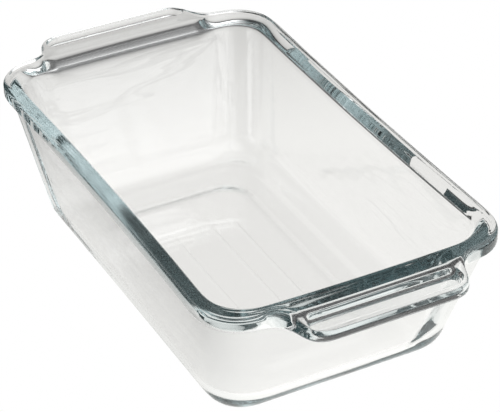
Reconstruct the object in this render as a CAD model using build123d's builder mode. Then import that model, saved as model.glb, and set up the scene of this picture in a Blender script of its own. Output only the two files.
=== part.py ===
from build123d import *
from math import atan2, cos, radians, sin, sqrt
import os

# Loaf pan of pressed glass. The frame stands in the middle of the pan, on the level it rests
# on: X runs along the pan through both handles, Y across it, Z up. Millimetres.

# ---- driving dimensions ----------------------------------------------------------
HEIGHT = 70.0               # underside to the top of the rim
FLOOR = 5.2                 # glass under the food
WALL_FOOT = 5.0             # glass of the walls at the foot, measured level
WALL_TOP_X = 7.2            # glass of the end walls at the rim
WALL_TOP_Y = 6.2            # glass of the long walls at the rim

BASE_HALF_X = 95.0          # outer walls where they would meet the ground
BASE_HALF_Y = 57.8
BASE_CORNER = 18.0
BASE_ROUND = 13.5           # turn from the underside up into the walls

WALL_TOP_HALF_X = 117.6     # outer walls carried up to the top of the rim
WALL_TOP_HALF_Y = 71.0
WALL_TOP_CORNER = 20.0
WAIST = 2.0                 # how far the middle of each long side stands in at the rim
END_BOW = 1.6               # how far the middle of each end stands out at the rim
STRAIGHT = 0.05             # least bow, so that every side is drawn as an arc

FLAT_HALF_X = 82.0          # flat part of the floor; from its edge the floor turns up
FLAT_HALF_Y = 44.0          # into the inner walls
INNER_BASE_CORNER = 22.0    # corners of the inner walls, at the floor and at the rim
INNER_TOP_CORNER = 17.5
TURN_SECTIONS = 7           # level sections that shape the turn

RIM_HALF_X = 119.5          # rim bead, a little outside the walls
RIM_HALF_Y = 72.6
RIM_CORNER = 22.0
RIM_UNDERSIDE = 62.6        # level of the bead's lower face
BEAD_TOP_ROUND = 2.4        # upper outer edge of the bead and of the handles
BEAD_FOOT_ROUND = 1.6       # their lower outer edge
LIP_ROUND = 3.4             # inner edge of the rim
UNDERCUT_ROUND = 1.2        # inside corner between bead and wall

HANDLE_TIP_X = 139.2        # outer edge of the handle
HANDLE_ROOT_HALF_Y = 42.5   # half length of the handle where it leaves the rim
HANDLE_TIP_HALF_Y = 37.5    # half length of the handle at its outer edge
HANDLE_TIP_CORNER = 10.0
HANDLE_ROOT_ROUND = 10.0
HANDLE_DROP = 2.6           # how far the handle's crest lies below the rim
HANDLE_SLOPE_START = 120.0  # where the top starts to fall towards the crest
SLOPE_ROUND = 40.0          # soft bend where the fall starts

RECESS_INNER_X = 125.2      # finger recess in the top of the handle
RECESS_OUTER_X = 135.6
RECESS_HALF_Y = 37.0
RECESS_CORNER = 5.0
RECESS_FLOOR = 65.0         # level of the recess floor
RECESS_SLOPE = 1.6          # how far the recess walls lean in on their way down
RECESS_TAPER = 20.0         # lean of the recess walls, degrees
RECESS_FOOT_ROUND = 1.2
RECESS_EDGE_ROUND = 1.0

PANEL_HALF_X = 70.0         # shallow sunk panel in the middle of the underside
PANEL_HALF_Y = 38.0
PANEL_CORNER = 18.0
PANEL_DEPTH = 0.9
PANEL_SLOPE = 9.0           # level width of the slope round the panel

GROOVE_PLACES_Y = (-16.0, 4.0, 16.0)    # plain grooves pressed into the panel
GROOVE_LENGTH = 68.0
GROOVE_WIDTH = 1.4
GROOVE_DEPTH = 0.3

ABOVE = 4.0                 # how far the cutting solids reach past the glass
NEAR = 1.0                  # how close an edge lies to the plane that selects it


def at_height(foot, top, z):
    """A wall size at height z, between its value at the foot and at the rim."""
    return foot + (top - foot) * z / HEIGHT


def pan_outline(half_x, half_y, corner, waist, end_bow):
    """Level outline of the pan: long sides drawn in at the middle, ends bowed out."""
    with BuildSketch(Plane.XY, mode=Mode.PRIVATE) as outline:
        with BuildLine():
            for end in (1, -1):
                ThreePointArc(
                    (end * half_x, -end * half_y),
                    (end * (half_x + end_bow), 0),
                    (end * half_x, end * half_y),
                )
                ThreePointArc(
                    (end * half_x, end * half_y),
                    (0, end * (half_y - waist)),
                    (-end * half_x, end * half_y),
                )
        make_face()
        fillet(outline.vertices(), corner)
    return outline.sketch


def outer_section(z):
    """Outline of the outer walls at height z."""
    return pan_outline(
        at_height(BASE_HALF_X, WALL_TOP_HALF_X, z),
        at_height(BASE_HALF_Y, WALL_TOP_HALF_Y, z),
        at_height(BASE_CORNER, WALL_TOP_CORNER, z),
        STRAIGHT + at_height(0, WAIST, z),
        STRAIGHT + at_height(0, END_BOW, z),
    )


def inner_wall(outer_foot, outer_top, glass_top, z):
    """Half size of the straight part of an inner wall at height z."""
    return at_height(outer_foot - WALL_FOOT, outer_top - glass_top, z)


def turned_half(flat, outer_foot, outer_top, glass_top, z):
    """Half size of the hollow at height z: an arc from the flat floor, then the wall.
    The arc meets both the floor and the wall smoothly. Also returns its top."""
    foot = inner_wall(outer_foot, outer_top, glass_top, FLOOR)
    top = inner_wall(outer_foot, outer_top, glass_top, HEIGHT)
    lean = atan2(top - foot, HEIGHT - FLOOR)
    radius = (foot - flat) * cos(lean) / (1 - sin(lean))
    arc_top = FLOOR + radius * (1 - sin(lean))
    if z < arc_top:
        return flat + sqrt(radius**2 - (radius - z + FLOOR) ** 2), arc_top
    return inner_wall(outer_foot, outer_top, glass_top, z), arc_top


def hole_edges(faces):
    """Edges round the holes in the given faces."""
    return ShapeList(edge for face in faces for edge in face.inner_wires().edges())


def inner_section(z):
    """Outline of the hollow at height z."""
    half_x, _ = turned_half(FLAT_HALF_X, BASE_HALF_X, WALL_TOP_HALF_X, WALL_TOP_X, z)
    half_y, _ = turned_half(FLAT_HALF_Y, BASE_HALF_Y, WALL_TOP_HALF_Y, WALL_TOP_Y, z)
    inset = inner_wall(BASE_HALF_Y, WALL_TOP_HALF_Y, WALL_TOP_Y, z) - half_y
    return pan_outline(
        half_x,
        half_y,
        at_height(INNER_BASE_CORNER, INNER_TOP_CORNER, z) - inset,
        STRAIGHT + at_height(0, WAIST, z),
        STRAIGHT + at_height(0, END_BOW, z),
    )


# ---- outer walls, solid ------------------------------------------------------------
with BuildPart() as body:
    for z in (0, HEIGHT - BEAD_TOP_ROUND):
        with BuildSketch(Plane.XY.offset(z)):
            add(outer_section(z))
    loft()
    fillet(body.faces().sort_by(Axis.Z)[0].edges(), BASE_ROUND)

# ---- rim bead and handle blanks ------------------------------------------------------
with BuildPart() as rim:
    with BuildSketch(Plane.XY.offset(RIM_UNDERSIDE)):
        with BuildLine():
            for end in (1, -1):
                Polyline(
                    (end * RIM_HALF_X, -end * RIM_HALF_Y),
                    (end * RIM_HALF_X, -end * HANDLE_ROOT_HALF_Y),
                    (end * HANDLE_TIP_X, -end * HANDLE_TIP_HALF_Y),
                    (end * HANDLE_TIP_X, end * HANDLE_TIP_HALF_Y),
                    (end * RIM_HALF_X, end * HANDLE_ROOT_HALF_Y),
                    (end * RIM_HALF_X, end * RIM_HALF_Y),
                )
                ThreePointArc(
                    (end * RIM_HALF_X, end * RIM_HALF_Y),
                    (0, end * (RIM_HALF_Y - WAIST)),
                    (-end * RIM_HALF_X, end * RIM_HALF_Y),
                )
        make_face()
    extrude(amount=HEIGHT - RIM_UNDERSIDE)
    upright = rim.edges().filter_by(Axis.Z)
    tips = upright.filter_by(lambda edge: abs(edge.center().X) > HANDLE_TIP_X - NEAR)
    corners = upright.filter_by(lambda edge: abs(edge.center().Y) > RIM_HALF_Y - NEAR)
    roots = upright.filter_by(lambda edge: edge not in tips and edge not in corners)
    fillet(corners, RIM_CORNER)
    fillet(roots, HANDLE_ROOT_ROUND)
    fillet(tips, HANDLE_TIP_CORNER)
    with BuildSketch(Plane.XZ) as side_view:
        with BuildLine():
            Polyline(
                (-HANDLE_TIP_X - ABOVE, RIM_UNDERSIDE - ABOVE),
                (HANDLE_TIP_X + ABOVE, RIM_UNDERSIDE - ABOVE),
                (HANDLE_TIP_X + ABOVE, HEIGHT - HANDLE_DROP),
                (HANDLE_TIP_X, HEIGHT - HANDLE_DROP),
                (HANDLE_SLOPE_START, HEIGHT),
                (-HANDLE_SLOPE_START, HEIGHT),
                (-HANDLE_TIP_X, HEIGHT - HANDLE_DROP),
                (-HANDLE_TIP_X - ABOVE, HEIGHT - HANDLE_DROP),
                close=True,
            )
        make_face()
        fillet(side_view.vertices().group_by(Axis.Y)[-1], SLOPE_ROUND)
    extrude(amount=RIM_HALF_Y + ABOVE, both=True, mode=Mode.INTERSECT)
    bends = rim.edges().filter_by(Axis.Y)
    bends = bends.filter_by(lambda edge: abs(edge.center().X) < HANDLE_TIP_X - NEAR)
    tops = rim.faces().filter_by(lambda face: face.normal_at().Z > 0.5)
    top_edges = tops.edges().filter_by(lambda edge: edge not in bends)
    fillet(top_edges, BEAD_TOP_ROUND)
    fillet(rim.edges().group_by(Axis.Z)[0], BEAD_FOOT_ROUND)

# ---- hollow of the pan ---------------------------------------------------------------
_, end_turn_top = turned_half(FLAT_HALF_X, BASE_HALF_X, WALL_TOP_HALF_X, WALL_TOP_X, FLOOR)
with BuildPart() as hollow:
    for step in range(TURN_SECTIONS + 1):
        z = FLOOR + (end_turn_top - FLOOR) * (1 - cos(radians(90 * step / TURN_SECTIONS)))
        with BuildSketch(Plane.XY.offset(z)):
            add(inner_section(z))
    loft()
    for z in (end_turn_top, HEIGHT + ABOVE):
        with BuildSketch(Plane.XY.offset(z)):
            add(inner_section(z))
    loft()

# ---- finger recess in each handle ------------------------------------------------------
with BuildPart() as recesses:
    for end in (1, -1):
        with BuildSketch(Plane.XY.offset(RECESS_FLOOR)):
            with Locations((end * (RECESS_INNER_X + RECESS_OUTER_X) / 2, 0)):
                RectangleRounded(
                    RECESS_OUTER_X - RECESS_INNER_X - 2 * RECESS_SLOPE,
                    2 * (RECESS_HALF_Y - RECESS_SLOPE),
                    RECESS_CORNER - RECESS_SLOPE,
                )
    extrude(amount=HEIGHT + ABOVE - RECESS_FLOOR, taper=-RECESS_TAPER)
    fillet(recesses.faces().filter_by(Axis.Z).group_by(Axis.Z)[0].edges(), RECESS_FOOT_ROUND)

# ---- sunk panel of the underside, with its grooves ---------------------------------------
with BuildPart() as panel:
    for inset, depth in ((0, 0), (PANEL_SLOPE, PANEL_DEPTH)):
        with BuildSketch(Plane.XY.offset(depth)):
            RectangleRounded(
                2 * (PANEL_HALF_X - inset),
                2 * (PANEL_HALF_Y - inset),
                PANEL_CORNER - inset,
            )
    loft()
    with BuildSketch(Plane.XY.offset(PANEL_DEPTH)):
        with Locations([(0, y) for y in GROOVE_PLACES_Y]):
            SlotOverall(GROOVE_LENGTH, GROOVE_WIDTH)
    extrude(amount=GROOVE_DEPTH)

# ---- the pressed piece -----------------------------------------------------------------
with BuildPart() as glass_dish:
    add(body.part)
    add(rim.part)
    add(hollow.part, mode=Mode.SUBTRACT)
    add(recesses.part, mode=Mode.SUBTRACT)
    rim_top = glass_dish.faces().filter_by(Axis.Z).group_by(Axis.Z)[-1]
    fillet(hole_edges(rim_top), LIP_ROUND)
    handle_tops = glass_dish.faces().filter_by(lambda face: abs(face.center().X) > RIM_HALF_X)
    handle_tops = handle_tops.filter_by(lambda face: face.center().Z > RECESS_FLOOR + NEAR)
    fillet(hole_edges(handle_tops), RECESS_EDGE_ROUND)
    shelf = glass_dish.faces().filter_by(Axis.Z).filter_by_position(
        Axis.Z, RIM_UNDERSIDE - NEAR / 2, RIM_UNDERSIDE + NEAR / 2
    )
    fillet(hole_edges(shelf), UNDERCUT_ROUND)
    add(panel.part, mode=Mode.SUBTRACT)

glass_dish.part.label = "glass_dish"
os.makedirs("parts", exist_ok=True)
export_step(glass_dish.part, "parts/glass_dish.step")
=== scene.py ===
import math

import bpy
import numpy as np
from mathutils import Matrix, Vector, noise


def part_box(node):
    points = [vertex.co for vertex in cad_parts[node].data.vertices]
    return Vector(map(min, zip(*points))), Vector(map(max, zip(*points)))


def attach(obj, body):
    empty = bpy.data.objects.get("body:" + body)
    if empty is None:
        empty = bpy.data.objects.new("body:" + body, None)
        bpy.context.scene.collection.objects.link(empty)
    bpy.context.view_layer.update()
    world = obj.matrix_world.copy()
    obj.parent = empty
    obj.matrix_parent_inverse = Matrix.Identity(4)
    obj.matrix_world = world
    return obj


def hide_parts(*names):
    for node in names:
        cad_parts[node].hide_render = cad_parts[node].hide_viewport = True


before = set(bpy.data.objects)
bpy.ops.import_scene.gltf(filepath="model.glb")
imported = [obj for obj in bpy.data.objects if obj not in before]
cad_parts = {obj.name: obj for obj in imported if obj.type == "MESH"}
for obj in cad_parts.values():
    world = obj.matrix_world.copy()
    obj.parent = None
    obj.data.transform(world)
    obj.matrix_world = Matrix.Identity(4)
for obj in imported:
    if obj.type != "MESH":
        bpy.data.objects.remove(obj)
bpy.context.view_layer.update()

# Clear pressed glass loaf pan. X runs along the pan through both handles, Y across it, Z up.
# The glass is one closed skin: level rings climb the outside, cross the rim and the handles and
# go down the inside. One grid closes the underside and another the floor. Sizes are in
# millimetres from the middle of the underside; the mesh is in metres.
MM = 0.001

# ---- the pan ------------------------------------------------------------------------
BOX_LOW, BOX_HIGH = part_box("glass_dish")
HEIGHT = (BOX_HIGH.z - BOX_LOW.z) / MM
HANDLE_TIP_X = BOX_HIGH.x / MM      # outer edge of the handles

FLOOR = 5.2                         # glass under the food
BASE_HALF = (95.0, 57.8)            # outer walls where they would meet the ground
TOP_HALF = (117.6, 71.0)            # outer walls carried up to the top of the rim
BASE_CORNER, TOP_CORNER = 18.0, 20.0
GLASS_FOOT = (5.0, 5.0)             # glass of the walls at the foot, measured level
GLASS_TOP = (7.2, 6.2)              # and at the rim
BASE_ROUND = 13.5                   # turn from the underside into the outer walls
FLAT_HALF = (82.0, 44.0)            # flat part of the floor, from which it turns up
INNER_BASE_CORNER, INNER_TOP_CORNER = 22.0, 17.5
WAIST = 2.0                         # how far the long sides stand in at the rim
END_BOW = 1.6                       # how far the ends stand out at the rim

RIM_HALF = (119.5, 72.6)
RIM_CORNER = 22.0
RIM_UNDERSIDE = 62.6
BEAD_TOP_ROUND, BEAD_FOOT_ROUND = 2.4, 1.6
LIP_ROUND = 3.4
UNDERCUT_ROUND = 1.2                # inside corner between bead and wall
HANDLE_UNDERCUT_ROUND = 5.0         # largest round, where the handles' lower face is wide
UNDERCUT_SHARE = 0.5                # round per millimetre of that face's level width

HANDLE_ROOT_HALF_Y, HANDLE_TIP_HALF_Y = 42.5, 37.5
HANDLE_TIP_CORNER, HANDLE_ROOT_ROUND = 10.0, 10.0
HANDLE_DROP = 2.6                   # how far the handle's crest lies below the rim
SLOPE_START = 120.0
SLOPE_BEND = 3.0                    # half length of the soft bend where the fall starts

RECESS_X = (125.2, 135.6)           # finger recess in the top of each handle
RECESS_HALF_Y = 37.0
RECESS_CORNER = 5.0
RECESS_FLOOR = 65.0
RECESS_WALL = 2.2                   # level width of the recess's sloping wall

PANEL_HALF = (70.0, 38.0)           # shallow sunk panel in the middle of the underside
PANEL_CORNER = 18.0
PANEL_DEPTH = 0.9
PANEL_SLOPE = 9.0                   # level width of the slope round the panel

GROOVE_PLACES_Y = (-16.0, 4.0, 16.0)    # plain grooves pressed into the underside
GROOVE_HALF_LENGTH = 34.0
GROOVE_HALF_WIDTH = 0.9
GROOVE_DEPTH = 0.3

# The pressed surfaces are a little wavy, where the hot glass chilled against the mould.
WAVE_HEIGHT = 0.06
WAVE_LENGTH = (45.0, 45.0, 14.0)    # along X and Y, and up the walls
WAVE_DRIFT = 36.4                   # keeps the waves of the inside apart from the outside's
# Fine lines run round the pan, side by side from the underside over the rim to the floor.
LINE_HEIGHT = 0.010
LINE_WIDTH = 1.6
LINE_LENGTH = 200.0
FADE_ROWS = 6                       # waves and lines die out beside the flat faces

GLASS_IOR = 1.5
BODY_COLOUR = (0.60, 0.68, 0.69, 1)
BODY_DENSITY = 10.0
POLISH_SCALE = 45.0                 # patches of duller polish, about 2 cm across
POLISH_DETAIL = 3.0
DULL_START, DULL_FULL = 0.58, 0.80  # noise levels where a patch starts and is at its dullest
DULLEST = 0.006
DIMPLE_SCALE = 160.0                # dimples from the mould, about 6 mm across
DIMPLE_DETAIL = 1.0
DIMPLE_DEPTH = 0.000003             # metres

# ---- rings and points -----------------------------------------------------------------
END_STEPS, CORNER_STEPS, SIDE_STEPS = 54, 18, 34    # points on a quarter of every ring
ARC_POINTS = 40                                     # points on a rounded corner, before spreading
RING_SOFTENING = 10                                 # passes that ease arcs into straights
BASE_ROUND_ROWS = 10
OUTER_WALL_ROWS = 28
UNDERCUT_ROWS = 4
SHELF_ROWS = 9
BEAD_FOOT_ROWS = 5
BEAD_SIDE_ROWS = 2
BEAD_TOP_ROWS = 8
TOP_ROWS = 40
LIP_ROWS = 8
FLOOR_TURN_ROWS = 22
INNER_WALL_ROWS = 28


def corner_path(points, radii):
    """Polyline with its inner points rounded to the given radii, as pieces, one per stretch."""
    points = [np.array(p, float) for p in points]
    pieces = []
    start = points[0]
    for before, here, after, radius in zip(points, points[1:], points[2:], radii):
        back = (before - here) / np.linalg.norm(before - here)
        ahead = (after - here) / np.linalg.norm(after - here)
        half = math.acos(float(np.clip(back @ ahead, -1, 1))) / 2
        reach = radius / math.tan(half)
        centre = here + (back + ahead) / np.linalg.norm(back + ahead) * radius / math.sin(half)
        first = here + back * reach
        last = here + ahead * reach
        first_angle = math.atan2(*(first - centre)[::-1])
        turn = math.atan2(*(last - centre)[::-1]) - first_angle
        turn = (turn + math.pi) % (2 * math.pi) - math.pi
        angles = first_angle + turn * np.linspace(0, 1, ARC_POINTS)
        pieces.append(np.array([start, first]))
        pieces.append(centre + radius * np.column_stack([np.cos(angles), np.sin(angles)]))
        start = last
    pieces.append(np.array([start, points[-1]]))
    return pieces


def spread(path, count):
    """Points spaced evenly along a path, as many as count, without the path's last point."""
    steps = np.linalg.norm(np.diff(path, axis=0), axis=1)
    along = np.concatenate([[0], np.cumsum(steps)])
    want = np.linspace(0, along[-1], count, endpoint=False)
    return np.column_stack([np.interp(want, along, path[:, k]) for k in (0, 1)])


def ring(pieces, half, waist, bow):
    """Closed ring from the pieces of its first quarter: end, corner and half a long side."""
    end = np.vstack(pieces[:-2])
    quarter = np.vstack([
        spread(end, END_STEPS),
        spread(pieces[-2], CORNER_STEPS),
        spread(pieces[-1], SIDE_STEPS),
    ])
    stop = pieces[-1][-1:]
    second = np.vstack([stop, quarter[:0:-1]]) * (-1, 1)
    whole = np.vstack([quarter, second])
    whole = np.vstack([whole, -whole])
    for _ in range(RING_SOFTENING):
        whole = (np.roll(whole, 1, 0) + 2 * whole + np.roll(whole, -1, 0)) / 4
    x, y = whole.T / np.array(half)[:, None]
    across = 1 - np.clip(x, -1, 1) ** 2
    along = 1 - np.clip(y, -1, 1) ** 2
    return whole + np.column_stack([bow * along * x, -waist * across * y])


def pan_ring(half, corner, waist, bow):
    """Rounded rectangle with drawn-in sides and bowed ends."""
    pieces = corner_path([(half[0], 0), half, (0, half[1])], [corner])
    return ring(pieces, half, waist, bow)


def rim_ring():
    """Outline of the rim with both handles."""
    pieces = corner_path(
        [
            (HANDLE_TIP_X, 0),
            (HANDLE_TIP_X, HANDLE_TIP_HALF_Y),
            (RIM_HALF[0], HANDLE_ROOT_HALF_Y),
            RIM_HALF,
            (0, RIM_HALF[1]),
        ],
        [HANDLE_TIP_CORNER, HANDLE_ROOT_ROUND, RIM_CORNER],
    )
    return ring(pieces, RIM_HALF, WAIST, 0)


def outward(loop):
    """Level unit normals that point out of a closed ring."""
    along = np.roll(loop, -1, 0) - np.roll(loop, 1, 0)
    normal = np.column_stack([along[:, 1], -along[:, 0]])
    return normal / np.linalg.norm(normal, axis=1)[:, None]


def blend(low, high, share):
    """Value a share of the way from low to high."""
    return low + (high - low) * share


def between(first, last, rows):
    """Rings spaced evenly between two rings, without either of them."""
    return [blend(first, last, share) for share in np.linspace(0, 1, rows + 1)[1:-1]]


def level(loop, z):
    """A plan ring with its heights."""
    return np.column_stack([loop, np.broadcast_to(z, len(loop))])


def smooth_step(share):
    """Share from 0 to 1 that starts and ends gently."""
    share = np.clip(share, 0, 1)
    return share * share * (3 - 2 * share)


def top_height(loop):
    """Height of the rim and handle tops over points of the plan."""
    x, y = np.abs(loop.T)
    run = x - SLOPE_START
    bent = np.clip(run + SLOPE_BEND, 0, 2 * SLOPE_BEND)
    fall = bent ** 2 / (4 * SLOPE_BEND) + np.maximum(run - SLOPE_BEND, 0)
    slope = HANDLE_DROP / (HANDLE_TIP_X - SLOPE_START)
    ridge = HEIGHT - fall * slope
    middle = sum(RECESS_X) / 2
    half_x = (RECESS_X[1] - RECESS_X[0]) / 2 - RECESS_CORNER
    over_x = np.maximum(np.abs(x - middle) - half_x, 0)
    over_y = np.maximum(y - (RECESS_HALF_Y - RECESS_CORNER), 0)
    inside = RECESS_CORNER - np.hypot(over_x, over_y)
    depth = smooth_step(inside / RECESS_WALL)
    return ridge + (RECESS_FLOOR - ridge) * depth


def turn_rings(wall_low, wall_high, radius, rows):
    """Rings of the round turn from the underside into the sloping wall above it.
    wall_low is the wall's ring at the ground, wall_high its ring at HEIGHT."""
    normal = outward(wall_low)
    lean = np.einsum("ij,ij->i", wall_high - wall_low, normal) / HEIGHT
    tilt = np.arctan(lean)
    reach = radius * ((1 - np.sin(tilt)) * lean - np.cos(tilt))
    result = []
    for share in np.linspace(0, 1, rows):
        angle = (math.pi / 2 - tilt) * share
        z = radius * (1 - np.cos(angle))
        wall = blend(wall_low, wall_high, (z / HEIGHT)[:, None])
        inset = z * lean - reach - radius * np.sin(angle)
        result.append(level(wall - normal * inset[:, None], z))
    return result


def quarter_angles(rows):
    """Angles of a quarter turn, in radians."""
    return np.linspace(0, math.pi / 2, rows + 1)


def outer_wall_rings(low, high, rim):
    """From the edge of the flat underside up to the inside corner under the bead."""
    foot = turn_rings(low, high, BASE_ROUND, BASE_ROUND_ROWS)
    corner = blend(low, high, RIM_UNDERSIDE / HEIGHT)
    out = outward(corner)
    shelf = np.einsum("ij,ij->i", rim - corner, out) - BEAD_FOOT_ROUND
    radius = np.clip(shelf * UNDERCUT_SHARE, UNDERCUT_ROUND, HANDLE_UNDERCUT_ROUND)
    undercut = []
    for angle in quarter_angles(UNDERCUT_ROWS):
        z = RIM_UNDERSIDE - radius * (1 - math.sin(angle))
        reach = radius * (1 - math.cos(angle))
        wall = blend(low, high, (z / HEIGHT)[:, None])
        undercut.append(level(wall + out * reach[:, None], z))
    return foot + between(foot[-1], undercut[0], OUTER_WALL_ROWS) + undercut


def bead_rings(under, rim):
    """From the undercut out under the bead and the handles, then round their outer edge."""
    out = outward(rim)
    foot = []
    for angle in quarter_angles(BEAD_FOOT_ROWS):
        inset = BEAD_FOOT_ROUND * (1 - math.sin(angle))
        z = RIM_UNDERSIDE + BEAD_FOOT_ROUND * (1 - math.cos(angle))
        foot.append(level(rim - out * inset, z))
    crest = rim - out * BEAD_TOP_ROUND
    crest_z = top_height(crest)
    head = []
    for angle in quarter_angles(BEAD_TOP_ROWS):
        inset = BEAD_TOP_ROUND * (1 - math.cos(angle))
        z = crest_z - BEAD_TOP_ROUND * (1 - math.sin(angle))
        head.append(level(rim - out * inset, z))
    side = between(foot[-1], head[0], BEAD_SIDE_ROWS)
    return between(under, foot[0], SHELF_ROWS) + foot + side + head


def top_rings(crest, high):
    """Over the tops of the rim and the handles to the start of the lip."""
    lip = high + outward(high) * LIP_ROUND
    rings = []
    for share in np.linspace(0, 1, TOP_ROWS + 1)[1:]:
        flat = blend(crest, lip, share)
        rings.append(level(flat, top_height(flat)))
    return rings


def inner_half(z):
    """Half sizes of the hollow at height z, and how far the turn of the floor stands in
    from the straight walls there. The turn is an arc that meets floor and wall smoothly."""
    foot = blend(np.array(BASE_HALF), np.array(TOP_HALF), FLOOR / HEIGHT) - GLASS_FOOT
    top = np.array(TOP_HALF) - GLASS_TOP
    lean = np.arctan((top - foot) / (HEIGHT - FLOOR))
    radius = (foot - FLAT_HALF) * np.cos(lean) / (1 - np.sin(lean))
    rise = z - FLOOR
    wall = foot + rise * np.tan(lean)
    arc = FLAT_HALF + np.sqrt(np.maximum(radius ** 2 - (radius - rise) ** 2, 0))
    half = np.where(rise < radius * (1 - np.sin(lean)), arc, wall)
    return half, wall - half


def inner_ring(z):
    """Outline of the hollow at height z."""
    half, inset = inner_half(z)
    share = z / HEIGHT
    corner = blend(INNER_BASE_CORNER, INNER_TOP_CORNER, share) - inset[1]
    return pan_ring(half, corner, WAIST * share, END_BOW * share)


def inner_rings():
    """Round the lip, down the inner walls and through the turn to the edge of the flat floor."""
    rings = []
    high = inner_ring(HEIGHT)
    out = outward(high)
    for angle in quarter_angles(LIP_ROWS)[1:]:
        inset = LIP_ROUND * (1 - math.sin(angle))
        z = HEIGHT - LIP_ROUND * (1 - math.cos(angle))
        rings.append(level(inner_ring(z) + out * inset, z))
    turn_height = inner_half(FLOOR)[1].max()
    for z in np.linspace(HEIGHT - LIP_ROUND, FLOOR + turn_height, INNER_WALL_ROWS + 1)[1:]:
        rings.append(level(inner_ring(z), z))
    for angle in quarter_angles(FLOOR_TURN_ROWS)[::-1][1:]:
        z = FLOOR + turn_height * (1 - math.cos(angle))
        rings.append(level(inner_ring(z), z))
    return rings


def skin_normals(rings):
    """Unit normals that point out of the glass, at every point of a stack of rings."""
    along = np.roll(rings, -1, 1) - np.roll(rings, 1, 1)
    across = np.gradient(rings, axis=0)
    normal = np.cross(along, across)
    return normal / np.linalg.norm(normal, axis=2)[..., None]


def uneven(rings):
    """The skin with its waves and fine lines."""
    rings = np.array(rings)
    steps = np.linalg.norm(np.diff(rings, axis=0), axis=2).mean(axis=1)
    travel = np.concatenate([[0], np.cumsum(steps)])
    push = np.zeros(rings.shape[:2])
    for row, (loop, way) in enumerate(zip(rings, travel)):
        strength = float(smooth_step(min(row, len(rings) - 1 - row) / FADE_ROWS))
        drift = WAVE_DRIFT * way / travel[-1]
        for k, point in enumerate(loop):
            wave = noise.noise(Vector(point / WAVE_LENGTH) + Vector((drift, 0, drift)))
            line = noise.noise((way / LINE_WIDTH, point[0] / LINE_LENGTH, point[1] / LINE_LENGTH))
            push[row, k] = strength * (WAVE_HEIGHT * wave + LINE_HEIGHT * line)
    return rings + skin_normals(rings) * push[..., None]


def glass_rings():
    """All the rings, from the edge of the flat underside to the edge of the flat floor."""
    outer_low = pan_ring(BASE_HALF, BASE_CORNER, 0, 0)
    outer_high = pan_ring(TOP_HALF, TOP_CORNER, WAIST, END_BOW)
    rim = rim_ring()
    outside = outer_wall_rings(outer_low, outer_high, rim)
    bead = bead_rings(outside[-1], rim)
    top = top_rings(bead[-1][:, :2], inner_ring(HEIGHT))
    return uneven(outside + bead + top + inner_rings())


def panel_depth(grid):
    """Depth of the sunk panel at the points of the underside."""
    over = np.maximum(np.abs(grid[..., :2]) - (np.array(PANEL_HALF) - PANEL_CORNER), 0)
    inside = PANEL_CORNER - np.hypot(over[..., 0], over[..., 1])
    return PANEL_DEPTH * smooth_step(inside / PANEL_SLOPE)


def groove_depth(grid):
    """Depth of the plain grooves at the points of the underside. Each groove follows the row
    of points nearest to its place."""
    rows = grid[len(grid) // 2, :, 1]
    x, y = grid[..., 0], grid[..., 1]
    ends = np.clip((GROOVE_HALF_LENGTH - np.abs(x)) / GROOVE_HALF_WIDTH, 0, 1)
    depth = np.zeros(x.shape)
    for place in GROOVE_PLACES_Y:
        middle = rows[np.abs(rows - place).argmin()]
        across = np.clip(1 - np.abs(y - middle) / GROOVE_HALF_WIDTH, 0, 1)
        depth = np.maximum(depth, GROOVE_DEPTH * smooth_step(across * ends))
    return depth


def flat_grid(edge):
    """Grid of points that fills a level ring, and the places in the ring of its four borders."""
    corner = END_STEPS + CORNER_STEPS // 2
    half = len(edge) // 2
    index = np.arange(len(edge))
    right = np.roll(index, corner)[:2 * corner + 1]
    left = (right[::-1] + half) % len(edge)
    front = index[half + corner:2 * half - corner + 1]
    back = index[half - corner:corner - 1:-1]
    u = np.linspace(0, 1, len(front))[:, None, None]
    v = np.linspace(0, 1, len(right))[None, :, None]
    lengthwise = blend(edge[left][None], edge[right][None], u)
    crosswise = blend(edge[front][:, None], edge[back][:, None], v)
    corners = blend(
        blend(edge[front[0]], edge[front[-1]], u),
        blend(edge[back[0]], edge[back[-1]], u),
        v,
    )
    return front, right, back, left, lengthwise + crosswise - corners


def skin_quads(rings):
    """Quads between neighbouring rings, as point numbers."""
    count = len(rings[0])
    quads = []
    for row in range(len(rings) - 1):
        low = row * count
        high = low + count
        for k in range(count):
            after = (k + 1) % count
            quads.append((low + k, low + after, high + after, high + k))
    return quads


def grid_quads(number, faces_down):
    """Quads of a grid of point numbers."""
    columns, rows = number.shape
    quads = []
    for i in range(columns - 1):
        for j in range(rows - 1):
            quad = (number[i, j], number[i + 1, j], number[i + 1, j + 1], number[i, j + 1])
            if faces_down:
                quad = quad[::-1]
            quads.append(tuple(int(place) for place in quad))
    return quads


def glass_mesh(rings):
    """Closed mesh of quads between the rings, with one grid of quads at each end."""
    count = len(rings[0])
    points = list(rings)
    quads = skin_quads(rings)
    total = count * len(rings)
    ends = ((0, rings[0], True), (total - count, rings[-1], False))
    for first, edge, underside in ends:
        front, right, back, left, grid = flat_grid(edge)
        if underside:
            grid[..., 2] += panel_depth(grid) + groove_depth(grid)
        number = np.zeros(grid.shape[:2], int)
        inner = number[1:-1, 1:-1]
        inner[:] = total + np.arange(inner.size).reshape(inner.shape)
        number[:, 0] = first + front
        number[:, -1] = first + back
        number[0, :] = first + left
        number[-1, :] = first + right
        points.append(grid[1:-1, 1:-1].reshape(-1, 3))
        total += inner.size
        quads += grid_quads(number, underside)
    mesh = bpy.data.meshes.new("pressed_glass")
    mesh.from_pydata((np.vstack(points) * MM).tolist(), [], quads)
    mesh.polygons.foreach_set("use_smooth", [True] * len(mesh.polygons))
    mesh.update()
    return mesh


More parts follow.
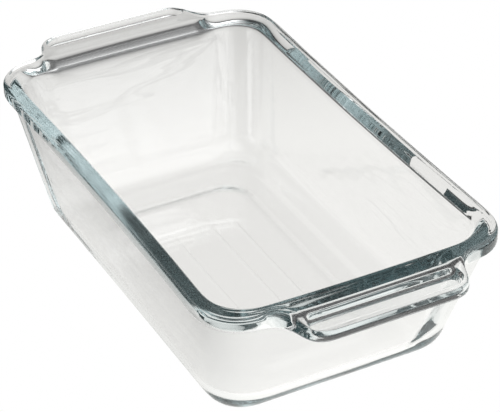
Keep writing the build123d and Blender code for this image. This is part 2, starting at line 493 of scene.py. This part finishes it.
def clear_glass():
    """Clear soda-lime glass with a faint blue-green body and a slightly uneven fire polish."""
    material = bpy.data.materials.new("clear_glass")
    material.use_nodes = True
    nodes, links = material.node_tree.nodes, material.node_tree.links
    shader = nodes["Principled BSDF"]
    shader.inputs["Base Color"].default_value = (1, 1, 1, 1)
    shader.inputs["IOR"].default_value = GLASS_IOR
    shader.inputs["Transmission Weight"].default_value = 1.0
    body = nodes.new("ShaderNodeVolumeAbsorption")
    body.inputs["Color"].default_value = BODY_COLOUR
    body.inputs["Density"].default_value = BODY_DENSITY
    links.new(body.outputs["Volume"], nodes["Material Output"].inputs["Volume"])

    place = nodes.new("ShaderNodeTexCoord")
    polish = nodes.new("ShaderNodeTexNoise")
    polish.inputs["Scale"].default_value = POLISH_SCALE
    polish.inputs["Detail"].default_value = POLISH_DETAIL
    links.new(place.outputs["Object"], polish.inputs["Vector"])
    dull = nodes.new("ShaderNodeMapRange")
    dull.inputs["From Min"].default_value = DULL_START
    dull.inputs["From Max"].default_value = DULL_FULL
    dull.inputs["To Max"].default_value = DULLEST
    links.new(polish.outputs["Fac"], dull.inputs["Value"])
    links.new(dull.outputs["Result"], shader.inputs["Roughness"])

    dimples = nodes.new("ShaderNodeTexNoise")
    dimples.inputs["Scale"].default_value = DIMPLE_SCALE
    dimples.inputs["Detail"].default_value = DIMPLE_DETAIL
    links.new(place.outputs["Object"], dimples.inputs["Vector"])
    bump = nodes.new("ShaderNodeBump")
    bump.inputs["Strength"].default_value = 1.0
    bump.inputs["Distance"].default_value = DIMPLE_DEPTH
    links.new(dimples.outputs["Fac"], bump.inputs["Height"])
    links.new(bump.outputs["Normal"], shader.inputs["Normal"])
    return material


glass = bpy.data.objects.new("pressed_glass", glass_mesh(glass_rings()))
bpy.context.collection.objects.link(glass)
glass.data.materials.append(clear_glass())
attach(glass, "root")
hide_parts("glass_dish")

# ---- stage ------------------------------------------------------------------------------
# The pan stands on a small lit table. The camera sees plain white paper all round it instead,
# as in a cut-out catalogue picture, so the table shows only through the glass and in it.
TABLE_LEVEL = 0.92                  # brightness of the table under the pan
TABLE_COLOUR = (1.0, 0.99, 0.965, 1)
# Stretches, in metres, over which the table's light changes from dark to full.
TABLE_FADES = (("X", -0.55, -0.05), ("X", 0.50, 0.25), ("Y", -0.115, -0.048), ("Y", 0.40, 0.20))
FRONT_GLOW = (0.05, 0.13, 1.4)      # brighter towards +X: start, end, how many times
TABLE_HALF = 0.6                    # metres
TABLE_GAP = 0.0002                  # below the pan
PAPER_HALF = 3.0


def stage_sheet(name, half, material):
    """Level square sheet just under the pan."""
    mesh = bpy.data.meshes.new(name)
    corners = [(x * half, y * half, -TABLE_GAP) for x, y in ((-1, -1), (1, -1), (1, 1), (-1, 1))]
    mesh.from_pydata(corners, [], [(0, 1, 2, 3)])
    mesh.materials.append(material)
    sheet = bpy.data.objects.new(name, mesh)
    bpy.context.collection.objects.link(sheet)
    return sheet


def glowing(name):
    """New material that only gives light, with its node tree and its emission node."""
    material = bpy.data.materials.new(name)
    material.use_nodes = True
    tree = material.node_tree
    tree.nodes.remove(tree.nodes["Principled BSDF"])
    glow = tree.nodes.new("ShaderNodeEmission")
    tree.links.new(glow.outputs["Emission"], tree.nodes["Material Output"].inputs["Surface"])
    return material, tree, glow


def white_paper():
    """Evenly bright white."""
    material, _, glow = glowing("white_paper")
    glow.inputs["Color"].default_value = (1, 1, 1, 1)
    return material


def lit_table():
    """Light table, brighter towards +X, that fades to nothing on each side."""
    material, tree, glow = glowing("lit_table")
    place = tree.nodes.new("ShaderNodeNewGeometry")
    axes = tree.nodes.new("ShaderNodeSeparateXYZ")
    tree.links.new(place.outputs["Position"], axes.inputs["Vector"])

    def ramp(axis, start, end, first, last):
        node = tree.nodes.new("ShaderNodeMapRange")
        node.interpolation_type = "SMOOTHSTEP"
        node.inputs["From Min"].default_value = min(start, end)
        node.inputs["From Max"].default_value = max(start, end)
        node.inputs["To Min"].default_value = first if start < end else last
        node.inputs["To Max"].default_value = last if start < end else first
        tree.links.new(axes.outputs[axis], node.inputs["Value"])
        return node.outputs["Result"]

    start, end, front = FRONT_GLOW
    light = ramp("X", start, end, TABLE_LEVEL, TABLE_LEVEL * front)
    for axis, dark, full in TABLE_FADES:
        product = tree.nodes.new("ShaderNodeMath")
        product.operation = "MULTIPLY"
        tree.links.new(light, product.inputs[0])
        tree.links.new(ramp(axis, dark, full, 0, 1), product.inputs[1])
        light = product.outputs["Value"]
    tree.links.new(light, glow.inputs["Strength"])
    glow.inputs["Color"].default_value = TABLE_COLOUR
    return material


def camera_only(piece):
    """Hide a piece from everything but the camera."""
    piece.visible_diffuse = False
    piece.visible_glossy = False
    piece.visible_transmission = False
    piece.visible_volume_scatter = False
    piece.visible_shadow = False


camera_only(stage_sheet("floor", PAPER_HALF, white_paper()))
stage_sheet("table", TABLE_HALF, lit_table()).visible_camera = False

# ---- light ------------------------------------------------------------------------------
# The room is dim, with a broad soft light over one side of the pan and two low softboxes.
SKY_DIM, SKY_BRIGHT = 0.06, 2.0
SKY_FADE = (0.2, 0.95)              # cosines of the angles where the broad light ends and is full
SKY_AZIMUTH, SKY_ELEVATION = math.radians(40), math.radians(40)
LAMP_DISTANCE = 1.5                 # metres
LAMP_ELEVATION = 9                  # degrees
LAMP_HEIGHT = 0.45


def direction(azimuth, elevation):
    """Unit vector towards a place in the room. azimuth goes from +X towards +Y, in radians."""
    flat = math.cos(elevation)
    return Vector((math.cos(azimuth) * flat, math.sin(azimuth) * flat, math.sin(elevation)))


def studio_sky():
    """Soft light round the pan, strongest in one direction and fading smoothly away from it."""
    world = bpy.data.worlds.new("studio_sky")
    world.use_nodes = True
    nodes, links = world.node_tree.nodes, world.node_tree.links
    place = nodes.new("ShaderNodeTexCoord")
    facing = nodes.new("ShaderNodeVectorMath")
    facing.operation = "DOT_PRODUCT"
    facing.inputs[1].default_value = direction(SKY_AZIMUTH, SKY_ELEVATION)
    links.new(place.outputs["Generated"], facing.inputs[0])
    fade = nodes.new("ShaderNodeMapRange")
    fade.interpolation_type = "SMOOTHSTEP"
    fade.inputs["From Min"].default_value = SKY_FADE[0]
    fade.inputs["From Max"].default_value = SKY_FADE[1]
    fade.inputs["To Min"].default_value = SKY_DIM
    fade.inputs["To Max"].default_value = SKY_BRIGHT
    links.new(facing.outputs["Value"], fade.inputs["Value"])
    background = nodes["Background"]
    background.inputs["Color"].default_value = (1, 1, 1, 1)
    links.new(fade.outputs["Result"], background.inputs["Strength"])
    return world


def softbox(name, azimuth, width, brightness):
    """Low area light turned to the pan. azimuth is in degrees, width in metres."""
    away = direction(math.radians(azimuth), math.radians(LAMP_ELEVATION))
    data = bpy.data.lights.new(name, "AREA")
    data.shape = "RECTANGLE"
    data.size = width
    data.size_y = LAMP_HEIGHT
    data.energy = brightness * math.pi * width * LAMP_HEIGHT
    lamp = bpy.data.objects.new(name, data)
    lamp.location = away * LAMP_DISTANCE
    lamp.rotation_euler = away.to_track_quat("Z", "Y").to_euler()
    lamp.visible_camera = False
    bpy.context.collection.objects.link(lamp)


bpy.context.scene.world = studio_sky()
softbox("right_low", azimuth=8, width=1.3, brightness=0.9)
softbox("left_low", azimuth=270, width=0.9, brightness=1.5)

# Light runs along inside the walls and the rim, which takes many bounces.
LIGHT_BOUNCES = 60

# ---- camera -----------------------------------------------------------------------------
AZIMUTH, ELEVATION, ROLL = (math.radians(v) for v in (62.47, 33.5, -0.7))
TARGET = Vector((-0.00148, 0.00678, 0.035))
DISTANCE = 1.0239
LENS = 159.86                       # millimetres, on a sensor this wide
SENSOR_WIDTH = 36

toward = Vector((
    math.sin(AZIMUTH) * math.cos(ELEVATION),
    -math.cos(AZIMUTH) * math.cos(ELEVATION),
    math.sin(ELEVATION),
))
level_right = Vector((0, 0, 1)).cross(toward).normalized()
level_up = toward.cross(level_right)
right = level_right * math.cos(ROLL) + level_up * math.sin(ROLL)
up = level_up * math.cos(ROLL) - level_right * math.sin(ROLL)
turned = Matrix((right, up, toward)).transposed().to_4x4()
lens = bpy.data.cameras.new("camera")
lens.lens = LENS
lens.sensor_width = SENSOR_WIDTH
camera = bpy.data.objects.new("camera", lens)
camera.matrix_world = Matrix.Translation(TARGET + toward * DISTANCE) @ turned
bpy.context.collection.objects.link(camera)
bpy.context.scene.camera = camera

scene = bpy.context.scene
scene.view_settings.view_transform = "Standard"
for kind in ("min_light_bounces", "max_bounces", "glossy_bounces", "transmission_bounces"):
    setattr(scene.cycles, kind, LIGHT_BOUNCES)
